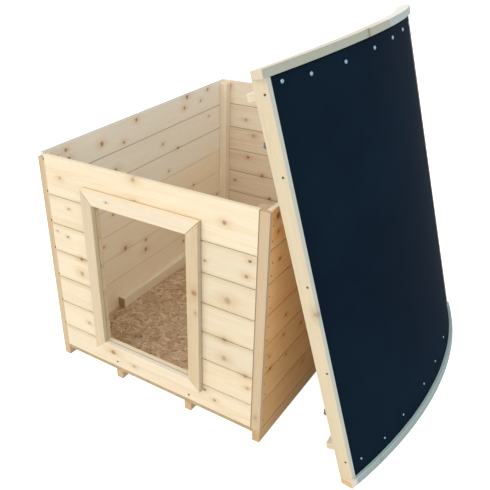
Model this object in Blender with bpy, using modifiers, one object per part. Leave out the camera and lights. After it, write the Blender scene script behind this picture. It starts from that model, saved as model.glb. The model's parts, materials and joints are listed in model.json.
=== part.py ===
"""Wooden dog kennel with its loose arched roof leaning against the right wall.

Four walls of tongue-and-groove boards stand on rebated corner posts, a
chipboard floor and four runners. The roof is a frame of two arched end boards
and two rails, with ribs, curved sheathing and a dark covering, and it stands
on its lower end board and tips about that board's inner edge.
Units are metres, +Z is up and -Y is the door side.
"""

import bpy
import bmesh
from math import atan, cos, pi, sin, sqrt
from mathutils import Matrix, Vector

# Driving dimensions of the box
BOX_WIDTH = 0.700
BOX_DEPTH = 0.930
WALL_TOP = 0.664
CLEARANCE = 0.0003

# Wall boards, tongue down and groove up, with a shadow gap above each joint
BOARD_THICKNESS = 0.0125
ROW_PITCH = 0.0865
ROW_COUNT = 7
FRONT_TOP_ROW = 0.115
LEFT_TOP_ROW = 0.0865
RIGHT_TOP_ROW = 0.099
BACK_TOP_ROW = 0.084
TONGUE_THICKNESS = 0.004
TONGUE_LENGTH = 0.006
TONGUE_SIDE_GAP = 0.0004
GROOVE_DEPTH = TONGUE_LENGTH + CLEARANCE
INNER_JOINT_GAP = 0.001
SHADOW_GAP_HEIGHT = 0.002
SHADOW_GAP_BEVEL = 0.002
BOARD_EDGE_BEVEL = 0.0012
FRONT_BOARD_END_GAP = 0.0009

# Corner posts
POST_STRIP_WIDTH = 0.025
POST_STRIP_SETBACK = 0.0025
POST_SIZE = 0.028
FRONT_LEFT_POST_TOP = 0.654
FRONT_RIGHT_POST_TOP = 0.662
BACK_POST_TOP = 0.657

# Base: runners, floor sheet and floor battens
SKID_WIDTH = 0.022
SIDE_SKID_HEIGHT = 0.0393
MIDDLE_SKID_LEFT = 0.2155
MIDDLE_SKID_RIGHT = 0.4623
FLOOR_THICKNESS = 0.012
FLOOR_SETBACK = 0.005
FRONT_BOARD_BOTTOM = 0.043
BATTEN_WIDTH = 0.026
BATTEN_HEIGHT = 0.036
BATTEN_FRONT = 0.255

# Door opening and its mitred trim
DOOR_LEFT = 0.196
DOOR_RIGHT = 0.491
DOOR_BOTTOM = 0.130
DOOR_TOP = 0.563
TRIM_SIDE_WIDTH = 0.0355
TRIM_TOP_WIDTH = 0.039
TRIM_BOTTOM_WIDTH = 0.032
TRIM_THICKNESS = 0.0155
OPEN_MITRE_GAP = 0.0011

# Roof frame
ROOF_END_OVERHANG = 0.031
ROOF_SIDE_OVERHANG = 0.100
ROOF_LENGTH = BOX_DEPTH + 2 * ROOF_END_OVERHANG
ROOF_CHORD = BOX_WIDTH + 2 * ROOF_SIDE_OVERHANG
ROOF_RISE = 0.080
ARCH_BOARD_THICKNESS = 0.018
ARCH_BOARD_DEPTH = 0.041
ARCH_BOARD_PROUD = 0.005
COVERING_INSET = 0.004
RAIL_HEIGHT = 0.032
RAIL_THICKNESS = 0.018
RAIL_UNCOVERED_EDGE = 0.010
SHEATHING_THICKNESS = 0.006
COVERING_THICKNESS = 0.002
RIB_THICKNESS = 0.018
RIB_END_DISTANCE = 0.067
MIDDLE_RIB_CENTRE = 0.534
MIDDLE_RIB_DEPTH = 0.030
CLEAT_THICKNESS = 0.018
CLEAT_WIDTH = 0.042
CLEAT_REACH = 0.051
CLEAT_ON_RIB = 0.028
CLEAT_WALL_GAP = 0.003

# How the roof leans: its foot out from the right wall, its far edge in from the back, and its turn
ROOF_FOOT_OUT = 0.2296
ROOF_BACK_INSET = 0.030
ROOF_YAW = 0.0347

# Small edge rounding on sawn pieces, and how far a cutter runs past its work
SAWN_EDGE = 0.001
CUT_OVERRUN = 0.020
ARC_STEPS = 36

# Finishes
PINE_LIGHT = (0.90, 0.79, 0.58)
PINE_WARM = (0.80, 0.63, 0.42)
CHIPBOARD = (0.42, 0.26, 0.13)
COVERING_BLUE = (0.010, 0.018, 0.028)

HEADING = {"left": 0.0, "front": pi / 2, "right": pi, "back": -pi / 2}


def clear_scene():
    for item in list(bpy.data.objects):
        bpy.data.objects.remove(item, do_unlink=True)


def new_collection(name):
    group = bpy.data.collections.new(name)
    bpy.context.scene.collection.children.link(group)
    return group


def finish(item, colour, roughness=0.6):
    shade = bpy.data.materials.new(item.name + "_finish")
    shade.use_nodes = True
    surface = shade.node_tree.nodes["Principled BSDF"]
    surface.inputs["Base Color"].default_value = (*colour, 1.0)
    surface.inputs["Roughness"].default_value = roughness
    surface.inputs["Metallic"].default_value = 0.0
    item.data.materials.clear()
    item.data.materials.append(shade)


def add_empty(name, location, rotation=(0.0, 0.0, 0.0), parent=None):
    empty = bpy.data.objects.new(name, None)
    empty.location = location
    empty.rotation_euler = rotation
    empty.parent = parent
    PARTS.objects.link(empty)
    return empty


def add_mesh(name, mesh, colour, parent, location=(0.0, 0.0, 0.0), rotation=(0.0, 0.0, 0.0)):
    item = bpy.data.objects.new(name, mesh)
    item.location = location
    item.rotation_euler = rotation
    item.parent = parent
    PARTS.objects.link(item)
    finish(item, colour)
    return item


def box_mesh(name, size):
    """A box mesh of the given size about its own centre."""
    mesh = bpy.data.meshes.new(name)
    work = bmesh.new()
    bmesh.ops.create_cube(work, size=1.0, matrix=Matrix.Diagonal((*size, 1.0)))
    work.to_mesh(mesh)
    work.free()
    return mesh


def add_box(name, low, high, colour, parent, rounded=True):
    """A sawn piece between two corners, with lightly rounded edges."""
    low, high = Vector(low), Vector(high)
    item = add_mesh(name, box_mesh(name, high - low), colour, parent, (low + high) / 2)
    if rounded:
        add_bevel(item)
    return item


def add_bevel(item):
    edge = item.modifiers.new("sawn_edge", "BEVEL")
    edge.width = SAWN_EDGE
    edge.segments = 1
    edge.limit_method = "ANGLE"


def outline_mesh(name, points, length):
    """An outline in X and Y, made solid over its length along Z, centred on zero."""
    curve = bpy.data.curves.new(name + "_outline", "CURVE")
    curve.dimensions = "2D"
    curve.fill_mode = "BOTH"
    curve.extrude = length / 2
    line = curve.splines.new("POLY")
    line.points.add(len(points) - 1)
    for spot, (x, y) in zip(line.points, points):
        spot.co = (x, y, 0.0, 1.0)
    line.use_cyclic_u = True
    drawn = bpy.data.objects.new(name + "_outline", curve)
    PARTS.objects.link(drawn)
    bpy.context.view_layer.update()
    graph = bpy.context.evaluated_depsgraph_get()
    mesh = bpy.data.meshes.new_from_object(drawn.evaluated_get(graph))
    mesh.name = name
    bpy.data.objects.remove(drawn, do_unlink=True)
    work = bmesh.new()
    work.from_mesh(mesh)
    bmesh.ops.remove_doubles(work, verts=work.verts, dist=CLEARANCE / 10)
    bmesh.ops.recalc_face_normals(work, faces=work.faces)
    work.to_mesh(mesh)
    work.free()
    return mesh


def cut_away(item, cutter):
    cut = item.modifiers.new("cut", "BOOLEAN")
    cut.operation = "DIFFERENCE"
    cut.solver = "EXACT"
    cut.object = cutter


def add_cutter(name, low, high, parent):
    low, high = Vector(low), Vector(high)
    cutter = bpy.data.objects.new(name, box_mesh(name, high - low))
    cutter.location = (low + high) / 2
    cutter.parent = parent
    cutter.hide_render = True
    cutter.display_type = "WIRE"
    CUTTERS.objects.link(cutter)
    return cutter


def row_levels(top_row, bottom):
    """The heights of a wall's joints, from its bottom edge to its top edge."""
    joints = [WALL_TOP - top_row - ROW_PITCH * step for step in range(ROW_COUNT - 1)]
    return [bottom] + sorted(joints) + [WALL_TOP]


def board_section(height, has_tongue, has_groove):
    """Section of a wall board: X runs from the outer face inwards, Y upwards."""
    t = BOARD_THICKNESS
    b = BOARD_EDGE_BEVEL
    tongue_out = (t - TONGUE_THICKNESS) / 2
    tongue_in = tongue_out + TONGUE_THICKNESS
    foot = INNER_JOINT_GAP
    shadow_gap = SHADOW_GAP_HEIGHT
    if has_tongue:
        points = [
            (t, foot), (tongue_in, foot), (tongue_in, -TONGUE_LENGTH), (tongue_out, -TONGUE_LENGTH),
            (tongue_out, shadow_gap), (SHADOW_GAP_BEVEL, shadow_gap),
            (0.0, shadow_gap + SHADOW_GAP_BEVEL),
        ]
    else:
        points = [(t, 0.0), (b, 0.0), (0.0, b)]
    points.append((0.0, height - b))
    points.append((b, height))
    if has_groove:
        groove_out = tongue_out - TONGUE_SIDE_GAP
        groove_in = tongue_in + TONGUE_SIDE_GAP
        points += [(groove_out, height), (groove_out, height - GROOVE_DEPTH)]
        points += [(groove_in, height - GROOVE_DEPTH), (groove_in, height)]
    points.append((t, height))
    return points


def add_board(name, wall, levels, row, start, end, face, parent):
    """One wall board of a row, from start to end along its wall."""
    height = levels[row + 1] - levels[row]
    section = board_section(height, row > 0, row < ROW_COUNT - 1)
    mesh = outline_mesh(name, section, end - start)
    middle = (start + end) / 2
    along_x = wall in ("front", "back")
    place = (middle, face, levels[row]) if along_x else (face, middle, levels[row])
    colour = PINE_LIGHT if wall == "front" else PINE_WARM
    return add_mesh(name, mesh, colour, parent, place, (pi / 2, 0.0, HEADING[wall]))


def make_base(parent):
    """Runners, floor sheet and floor battens."""
    ends = (POST_STRIP_SETBACK, BOX_DEPTH - POST_STRIP_SETBACK)
    floor_top = SIDE_SKID_HEIGHT
    floor_bottom = floor_top - FLOOR_THICKNESS
    middle_top = floor_bottom - CLEARANCE
    right = BOX_WIDTH
    places = {
        "skid_left": (0.0, SIDE_SKID_HEIGHT),
        "skid_middle_left": (MIDDLE_SKID_LEFT, middle_top),
        "skid_middle_right": (MIDDLE_SKID_RIGHT, middle_top),
        "skid_right": (right - SKID_WIDTH, SIDE_SKID_HEIGHT),
    }
    for name, (start, top) in places.items():
        low = (start, ends[0], 0.0)
        high = (start + SKID_WIDTH, ends[1], top)
        add_box(name, low, high, PINE_WARM, parent)
    inner = SKID_WIDTH + CLEARANCE
    low = (inner, FLOOR_SETBACK, floor_bottom)
    high = (right - inner, BOX_DEPTH - FLOOR_SETBACK, floor_top)
    add_box("floor_sheet", low, high, CHIPBOARD, parent, rounded=False)
    wall_in = BOARD_THICKNESS + CLEARANCE
    batten_low = floor_top + CLEARANCE
    batten_end = BOX_DEPTH - wall_in - POST_SIZE - CLEARANCE
    low = (wall_in, BATTEN_FRONT, batten_low)
    high = (wall_in + BATTEN_WIDTH, batten_end, batten_low + BATTEN_HEIGHT)
    add_box("floor_batten_left", low, high, PINE_WARM, parent)
    low = (right - wall_in - BATTEN_WIDTH, BATTEN_FRONT, batten_low)
    high = (right - wall_in, batten_end, batten_low + BATTEN_HEIGHT)
    add_box("floor_batten_right", low, high, PINE_WARM, parent)


def make_posts(parent):
    """Front posts wrap the corner in front of the side boards; back posts stand inside."""
    wall_in = BOARD_THICKNESS + CLEARANCE
    bottom = SIDE_SKID_HEIGHT + CLEARANCE
    inner = wall_in + POST_SIZE
    plan = [
        (0.0, POST_STRIP_SETBACK), (POST_STRIP_WIDTH, POST_STRIP_SETBACK),
        (POST_STRIP_WIDTH, wall_in), (inner, wall_in), (inner, inner), (wall_in, inner),
        (wall_in, BOARD_THICKNESS), (0.0, BOARD_THICKNESS),
    ]
    mirrored = [(BOX_WIDTH - x, y) for x, y in reversed(plan)]
    fronts = {
        "post_front_left": (plan, FRONT_LEFT_POST_TOP),
        "post_front_right": (mirrored, FRONT_RIGHT_POST_TOP),
    }
    for name, (outline, top) in fronts.items():
        mesh = outline_mesh(name, outline, top - bottom)
        add_mesh(name, mesh, PINE_LIGHT, parent, (0.0, 0.0, (top + bottom) / 2))
    back = BOX_DEPTH - wall_in
    for name, start in (("post_back_left", wall_in), ("post_back_right", BOX_WIDTH - inner)):
        low = (start, back - POST_SIZE, bottom)
        high = (start + POST_SIZE, back, BACK_POST_TOP)
        add_box(name, low, high, PINE_WARM, parent)


def make_front_wall(parent):
    """Front boards, with the doorway cut through the middle rows."""
    levels = row_levels(FRONT_TOP_ROW, FRONT_BOARD_BOTTOM)
    left = POST_STRIP_WIDTH + CLEARANCE
    right = BOX_WIDTH - POST_STRIP_WIDTH - FRONT_BOARD_END_GAP
    low = (DOOR_LEFT, -CUT_OVERRUN, DOOR_BOTTOM)
    high = (DOOR_RIGHT, BOARD_THICKNESS + CUT_OVERRUN, DOOR_TOP)
    doorway = add_cutter("doorway_cutter", low, high, parent)
    for row in range(ROW_COUNT):
        name = "front_board_%d" % (row + 1)
        under = levels[row + 1] <= DOOR_BOTTOM or levels[row] >= DOOR_TOP
        crossed = levels[row] - TONGUE_LENGTH >= DOOR_BOTTOM and levels[row + 1] <= DOOR_TOP
        if crossed:
            add_board(name + "_left", "front", levels, row, left, DOOR_LEFT, 0.0, parent)
            add_board(name + "_right", "front", levels, row, DOOR_RIGHT, right, 0.0, parent)
            continue
        board = add_board(name, "front", levels, row, left, right, 0.0, parent)
        if not under:
            cut_away(board, doorway)


def make_other_walls(parent):
    """Side boards stand behind the post strips, and back boards cover the side boards' ends."""
    bottom = SIDE_SKID_HEIGHT + CLEARANCE
    front_end = BOARD_THICKNESS + CLEARANCE
    back_end = BOX_DEPTH - BOARD_THICKNESS - CLEARANCE
    left_levels = row_levels(LEFT_TOP_ROW, bottom)
    right_levels = row_levels(RIGHT_TOP_ROW, bottom)
    back_levels = row_levels(BACK_TOP_ROW, bottom)
    for row in range(ROW_COUNT):
        end = "_%d" % (row + 1)
        add_board("left_board" + end, "left", left_levels, row, front_end, back_end, 0.0, parent)
        add_board("right_board" + end, "right", right_levels, row, front_end, back_end, BOX_WIDTH, parent)
        add_board("back_board" + end, "back", back_levels, row, 0.0, BOX_WIDTH, BOX_DEPTH, parent)


def make_door_trim(parent):
    """Four flat trim boards round the doorway, mitred at the corners."""
    gap = CLEARANCE / 2
    side = TRIM_SIDE_WIDTH
    upper = TRIM_TOP_WIDTH
    lower = TRIM_BOTTOM_WIDTH
    back = -CLEARANCE
    middle_y = back - TRIM_THICKNESS / 2
    width = DOOR_RIGHT - DOOR_LEFT
    height = DOOR_TOP - DOOR_BOTTOM
    centre_x = (DOOR_LEFT + DOOR_RIGHT) / 2
    centre_z = (DOOR_TOP + DOOR_BOTTOM) / 2
    sides = {
        "door_trim_top": (width, (centre_x, middle_y, DOOR_TOP), 0.0, upper, side, side),
        "door_trim_right": (height, (DOOR_RIGHT, middle_y, centre_z), pi / 2, side, upper, lower),
        "door_trim_bottom": (width, (centre_x, middle_y, DOOR_BOTTOM), pi, lower, side, side),
        "door_trim_left": (height, (DOOR_LEFT, middle_y, centre_z), -pi / 2, side, lower, upper),
    }
    for name, (inner, place, turn, wide, before, after) in sides.items():
        half = inner / 2
        first = OPEN_MITRE_GAP if name == "door_trim_right" else gap
        outline = [
            (-half + first, 0.0), (half - gap, 0.0),
            (half + after - gap, wide), (-half - before + first, wide),
        ]
        mesh = outline_mesh(name, outline, TRIM_THICKNESS)
        mesh.transform(Matrix.Rotation(pi / 2, 4, "X"))
        piece = add_mesh(name, mesh, PINE_LIGHT, parent, place, (0.0, turn, 0.0))
        add_bevel(piece)


def arc_height(across, inset=0.0):
    """Height of the roof's arc above the rails' underside, a distance across the roof."""
    half = ROOF_CHORD / 2
    radius = (half ** 2 + ROOF_RISE ** 2) / (2 * ROOF_RISE)
    reach = (radius - inset) ** 2 - (across - half) ** 2
    return RAIL_HEIGHT + ROOF_RISE - radius + sqrt(reach)


def arc_points(start, end, inset=0.0):
    step = (end - start) / ARC_STEPS
    return [(arc_height(start + step * i, inset), start + step * i) for i in range(ARC_STEPS + 1)]


def low_arc_points(start, end, crown):
    """A flatter arc from the rails' underside at both ends up to its crown."""
    half = (end - start) / 2
    radius = (half ** 2 + crown ** 2) / (2 * crown)
    step = (end - start) / ARC_STEPS
    points = []
    for i in range(ARC_STEPS + 1):
        across = start + step * i
        points.append((crown - radius + sqrt(radius ** 2 - (across - start - half) ** 2), across))
    return points


def add_roof_piece(name, outline, low, high, colour, parent):
    """A piece with its outline across the roof, between two distances along it."""
    mesh = outline_mesh(name, outline, high - low)
    return add_mesh(name, mesh, colour, parent, (0.0, 0.0, (low + high) / 2))


def make_roof_frame(parent):
    """Arched end boards with their ends cut square to the arc, rebated rails, ribs and cleats."""
    chord = ROOF_CHORD
    half = chord / 2
    radius = (half ** 2 + ROOF_RISE ** 2) / (2 * ROOF_RISE)
    centre_depth = radius - RAIL_HEIGHT - ROOF_RISE
    outer_share = (radius + ARCH_BOARD_PROUD) / sqrt(centre_depth ** 2 + half ** 2)
    outer_start = half - half * outer_share
    crown = RAIL_HEIGHT + ROOF_RISE + ARCH_BOARD_PROUD - ARCH_BOARD_DEPTH
    arch = arc_points(outer_start, chord - outer_start, -ARCH_BOARD_PROUD)
    arch += reversed(low_arc_points(0.0, chord, crown))
    thick = ARCH_BOARD_THICKNESS
    add_roof_piece("arch_board_lower", arch, 0.0, thick, PINE_LIGHT, parent)
    add_roof_piece("arch_board_upper", arch, ROOF_LENGTH - thick, ROOF_LENGTH, PINE_LIGHT, parent)

    skin = COVERING_INSET + COVERING_THICKNESS + SHEATHING_THICKNESS + 2 * CLEARANCE
    lip = RAIL_UNCOVERED_EDGE
    deep = RAIL_THICKNESS
    rail = [
        (0.0, 0.0), (arc_height(0.0), 0.0), (arc_height(lip), lip),
        (arc_height(lip, skin), lip), (arc_height(deep, skin), deep), (0.0, deep),
    ]
    other = [(x, chord - y) for x, y in reversed(rail)]
    start = thick + CLEARANCE
    end = ROOF_LENGTH - thick - CLEARANCE
    add_roof_piece("roof_rail_near", rail, start, end, PINE_LIGHT, parent)
    add_roof_piece("roof_rail_far", other, start, end, PINE_LIGHT, parent)

    rib_start = deep + CLEARANCE
    rib_top = arc_points(rib_start, chord - rib_start, skin + CLEARANCE)
    end_rib = rib_top + [(0.0, chord - rib_start), (0.0, rib_start)]
    low = RIB_END_DISTANCE
    add_roof_piece("end_rib_lower", end_rib, low, low + RIB_THICKNESS, PINE_WARM, parent)
    high = ROOF_LENGTH - RIB_END_DISTANCE
    add_roof_piece("end_rib_upper", end_rib, high - RIB_THICKNESS, high, PINE_WARM, parent)
    rib_crown = RAIL_HEIGHT + ROOF_RISE - skin - MIDDLE_RIB_DEPTH
    middle_rib = rib_top + list(reversed(low_arc_points(rib_start, chord - rib_start, rib_crown)))
    middle_low = MIDDLE_RIB_CENTRE - RIB_THICKNESS / 2
    add_roof_piece("middle_rib", middle_rib, middle_low, middle_low + RIB_THICKNESS, PINE_WARM, parent)

    inner = ROOF_SIDE_OVERHANG - CLEAT_WALL_GAP
    near = (inner - CLEAT_WIDTH, inner)
    far = (chord - near[1], chord - near[0])
    lower = low - CLEARANCE - CLEAT_THICKNESS
    upper = high + CLEARANCE
    for level, base in (("lower", lower), ("upper", upper)):
        for side, (left, right) in (("near", near), ("far", far)):
            name = "locating_cleat_%s_%s" % (level, side)
            corner = (-CLEAT_REACH, left, base)
            opposite = (CLEAT_ON_RIB, right, base + CLEAT_THICKNESS)
            add_box(name, corner, opposite, PINE_WARM, parent)


def make_roof_skin(parent):
    """Curved sheathing on the ribs, with the covering on it, between the arched end boards."""
    edge = RAIL_UNCOVERED_EDGE + CLEARANCE
    start = ARCH_BOARD_THICKNESS + CLEARANCE
    end = ROOF_LENGTH - start
    far = ROOF_CHORD - edge
    back = COVERING_INSET + COVERING_THICKNESS
    cover = arc_points(edge, far, COVERING_INSET) + list(reversed(arc_points(edge, far, back)))
    add_roof_piece("roof_covering", cover, start, end, COVERING_BLUE, parent)
    top = back + CLEARANCE
    under = top + SHEATHING_THICKNESS
    sheet = arc_points(edge, far, top) + list(reversed(arc_points(edge, far, under)))
    add_roof_piece("roof_sheathing", sheet, start, end, PINE_WARM, parent)


def lean_angle():
    """The tilt at which the far rail's underside meets the wall's top outer edge."""
    run = ROOF_FOOT_OUT - ROOF_CHORD * sin(ROOF_YAW) - CLEARANCE
    return atan(run / (WALL_TOP * cos(ROOF_YAW)))


def roof_foot():
    """Where the roof's lower near corner stands, with its far edge near the box's back."""
    y = BOX_DEPTH - ROOF_BACK_INSET - ROOF_CHORD * cos(ROOF_YAW)
    return (BOX_WIDTH + ROOF_FOOT_OUT, y, 0.0)


def centre_on_floor(frame):
    """Move the whole kennel so that its box stands centred on the origin."""
    bpy.context.view_layer.update()
    graph = bpy.context.evaluated_depsgraph_get()
    spots = []
    for item in PARTS.objects:
        if item.type == "MESH":
            shown = item.evaluated_get(graph)
            mesh = shown.to_mesh()
            spots += [shown.matrix_world @ v.co for v in mesh.vertices]
            shown.to_mesh_clear()
    low = Vector([min(s[i] for s in spots) for i in range(3)])
    high = Vector([max(s[i] for s in spots) for i in range(3)])
    frame.location = (-(low.x + high.x) / 2, -(low.y + high.y) / 2, -low.z)
    bpy.context.view_layer.update()
    return high - low


clear_scene()
PARTS = new_collection("wooden_dog_kennel")
CUTTERS = new_collection("cutters")

kennel_frame = add_empty("kennel_frame", (0.0, 0.0, 0.0))
make_base(kennel_frame)
make_posts(kennel_frame)
make_front_wall(kennel_frame)
make_other_walls(kennel_frame)
make_door_trim(kennel_frame)

roof_hinge = add_empty(
    "roof_hinge",
    roof_foot(),
    (0.0, -lean_angle(), ROOF_YAW),
    kennel_frame,
)
make_roof_frame(roof_hinge)
make_roof_skin(roof_hinge)

overall = centre_on_floor(kennel_frame)
print("overall size", [round(v, 4) for v in overall])
print("box corner", [round(v, 5) for v in kennel_frame.location])
print("hinge place", [round(v, 5) for v in roof_hinge.matrix_world.translation])
print("hinge axis", [round(v, 6) for v in roof_hinge.matrix_world.to_3x3() @ Vector((0.0, 1.0, 0.0))])
print("lean in degrees", round(lean_angle() * 180 / pi, 3))
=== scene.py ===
"""Looks of a wooden dog kennel whose arched roof leans against its right wall.

The solid model is loaded first and stays where it is. Each operator below finishes one
group of pieces: the pine boards, the frame timber, the strand board floor, the nails, the
roof's timber, its dark covering and its fixings, and last the studio they stand in.
"""

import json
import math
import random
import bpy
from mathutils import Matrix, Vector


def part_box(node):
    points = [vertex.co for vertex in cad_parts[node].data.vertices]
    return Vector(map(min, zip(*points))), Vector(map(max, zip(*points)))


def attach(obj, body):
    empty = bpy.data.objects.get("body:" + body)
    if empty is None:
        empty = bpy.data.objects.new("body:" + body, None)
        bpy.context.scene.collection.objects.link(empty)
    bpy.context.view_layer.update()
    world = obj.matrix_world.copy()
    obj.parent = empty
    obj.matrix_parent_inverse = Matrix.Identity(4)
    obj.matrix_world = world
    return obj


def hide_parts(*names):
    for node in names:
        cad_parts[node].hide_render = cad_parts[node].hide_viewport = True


bl_info = {
    "name": "Wooden dog kennel",
    "version": (1, 0, 0),
    "blender": (4, 5, 0),
    "location": "View3D > Sidebar > Kennel",
    "description": "Finishes the pine boards, roof and fixings of a wooden dog kennel",
    "category": "Object",
}

import bmesh
import bpy
from bpy.props import FloatProperty, FloatVectorProperty, PointerProperty
from bpy.types import Operator, Panel, PropertyGroup
from mathutils import Euler, Matrix, Vector

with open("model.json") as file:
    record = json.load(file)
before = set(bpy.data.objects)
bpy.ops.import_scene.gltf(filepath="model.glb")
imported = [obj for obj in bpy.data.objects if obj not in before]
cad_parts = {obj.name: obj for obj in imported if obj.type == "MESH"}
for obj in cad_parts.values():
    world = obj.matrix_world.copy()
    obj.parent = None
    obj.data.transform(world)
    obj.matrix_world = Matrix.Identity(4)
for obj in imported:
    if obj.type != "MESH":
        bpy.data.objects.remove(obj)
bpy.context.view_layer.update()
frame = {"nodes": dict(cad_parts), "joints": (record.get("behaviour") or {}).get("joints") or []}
NODES = frame["nodes"]
TIP = frame["joints"][0]

# Where the box's front left corner stands, and the frame of the leaning roof
CORNER = Vector((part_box("skid_left")[0].x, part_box("front_board_1")[0].y, 0.0))
ROOF_FOOT = Vector(TIP["pos_m"])
ROOF_YAW = math.atan2(-TIP["axis"][0], TIP["axis"][1])
ROOF_LEAN = math.radians(16.62)
ROOF_TURN = Euler((0.0, -ROOF_LEAN, ROOF_YAW))
ROOF_FRAME = Matrix.Translation(ROOF_FOOT) @ ROOF_TURN.to_matrix().to_4x4()

# Sizes that the fixings and the covering follow
ROOF_LENGTH = 0.992
ROOF_CHORD = 0.900
ROOF_RISE = 0.080
HALF_CHORD = ROOF_CHORD / 2
ARC_RADIUS = (HALF_CHORD ** 2 + ROOF_RISE ** 2) / (2 * ROOF_RISE)
RAIL_HEIGHT = 0.032
RAIL_THICKNESS = 0.018
COVERING_THICKNESS = 0.002
COVERING_INSET = 0.004
COVERING_EDGE = 0.0103
COVERING_END = 0.0183

# Order of the object's axes along a board, across it and through it
LYING_ON_FRONT = "XZY"
LYING_ON_SIDE = "YZX"
STANDING = "ZXY"
RUNNING_BACK = "YXZ"
UP_THE_ROOF = "ZXY"
ACROSS_THE_ROOF = "YXZ"

# Directions in that order: across a board, and each way through it
ACROSS = (0.0, 1.0, 0.0)
THROUGH = (0.0, 0.0, 1.0)
THROUGH_BACKWARDS = (0.0, 0.0, -1.0)
ACROSS_AND_THROUGH = (0.0, 1.0, 1.0)

# Kinds of knot: tight and dark, loose and grey, or red
DARK = 0.0
GREY = 0.5
RED = 1.0

# Where a knot's tone passes from one kind to the next
DARK_TO_GREY = (0.2, 0.3)
GREY_TO_RED = (0.7, 0.8)

# Colours of each kind of knot, at its middle and at its rim
DARK_KNOT_SHADES = ((0.20, 0.10, 0.045, 1.0), (0.12, 0.055, 0.025, 1.0))
GREY_KNOT_SHADES = ((0.36, 0.26, 0.16, 1.0), (0.46, 0.35, 0.23, 1.0))
RED_KNOT_SHADES = ((0.40, 0.20, 0.10, 1.0), (0.52, 0.28, 0.15, 1.0))

# Shades of the flecks and of the wood round a knot
FLECK_SHADE = (0.72, 0.60, 0.46, 1.0)
HALO_SHADE = (0.84, 0.76, 0.66, 1.0)

# Scales of the noises along a board, across it and through it, and round a knot
SWAY_SCALES = (1.6, 7.0, 7.0)
FIBRE_SCALES = (22.0, 700.0, 700.0)
STREAK_SCALES = (2.2, 55.0, 30.0)
FLECK_SCALES = (60.0, 420.0, 420.0)
KNOT_SCALES = (1.1, 1.1, 90.0)

# How far one board may differ from the next
HEART_SPREAD = 0.05
HEART_DEPTH = 0.055
SLOPE_ACROSS = 0.02
SLOPE_THROUGH = 0.035
LIFTS = (0.975, 1.015)
SPACING_SHARES = (0.8, 1.3)
CONTRAST_SHARES = (0.8, 1.2)

# Shine and relief of planed pine
PINE_SPECULAR = 0.35
PINE_RELIEF = (0.35, 0.0004)


def knots_in_mm(*rows):
    """Knots given in millimetres: place along and up the wall, radius, and kind."""
    return tuple((along / 1000, across / 1000, radius / 1000, kind) for along, across, radius, kind in rows)


# Knots of each wall, of the door trim, and of the post, the rail and the arched boards that show some
FRONT_KNOTS = knots_in_mm(
    (77, 608, 6.5, GREY), (589, 612, 8.5, RED), (330, 658, 9, GREY), (330, 600, 7, RED),
    (124, 376, 9, RED), (119, 328, 11, GREY), (125, 161, 6.5, GREY), (97, 523, 4, DARK),
    (80, 434, 5, DARK), (41, 442, 4.5, GREY), (657, 534, 6, DARK), (649, 492, 7.5, RED),
    (536, 499, 4, DARK), (599, 409, 15, GREY), (592, 292, 10, GREY), (592, 234, 11, GREY),
    (654, 205, 8.5, GREY), (662, 169, 7, GREY), (564, 81, 6.5, RED), (533, 103, 6, DARK),
    (288, 71, 6, GREY),
)
TRIM_KNOTS = knots_in_mm(
    (225.5, 104, 15, RED), (514, 409, 12, RED), (517, 352, 6, GREY), (250, 585, 3.5, DARK),
)
LEFT_KNOTS = knots_in_mm(
    (102, 616, 9, DARK), (241, 619, 11, RED), (340, 595, 7, RED), (406, 648, 9, RED),
    (681, 655, 11, RED), (665, 621, 9, RED), (763, 623, 5, DARK), (808, 652, 8, RED),
    (292, 519, 12, GREY), (564, 426, 6, RED), (621, 492, 7, DARK), (873, 226, 6, DARK),
    (712, 322, 6, DARK), (415, 187, 11, RED), (418, 222, 7, DARK), (309, 239, 12, RED),
    (263, 379, 5, DARK), (208, 287, 6, RED), (536, 531, 7, RED), (817, 554, 5, DARK),
    (420, 312, 5, DARK), (95, 645, 8, RED), (550, 300, 9, RED), (640, 120, 8, RED),
)
BACK_KNOTS = knots_in_mm(
    (143, 473, 10, GREY), (123, 386, 7, DARK), (67, 282, 8, RED), (38, 645, 7, RED), (222, 238, 8, DARK),
    (109, 528, 6, RED), (186, 324, 10, RED), (430, 610, 10, RED), (560, 430, 9, GREY),
    (350, 350, 6, DARK), (620, 210, 11, RED), (480, 110, 8, RED),
)
RIGHT_KNOTS = knots_in_mm(
    (40, 642, 11, DARK), (46, 602, 8.5, RED), (61, 526, 6.5, DARK), (113, 343, 6, DARK),
    (107, 287, 6, DARK), (208, 263, 8, DARK), (36, 263, 5, DARK), (44, 221, 8, DARK),
    (130, 210, 5, DARK), (243, 112, 8, RED), (420, 420, 9, RED), (610, 590, 10, RED),
    (700, 260, 8, DARK), (820, 480, 8, RED),
)
POST_KNOTS = knots_in_mm((81, 686, 5, GREY))
RAIL_KNOTS = knots_in_mm((466, 30, 10, GREY))
ARCH_KNOTS = {
    "arch_board_upper": knots_in_mm((345, 110, 6, DARK)),
    "arch_board_lower": knots_in_mm((95, 71, 4, DARK)),
}

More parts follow.
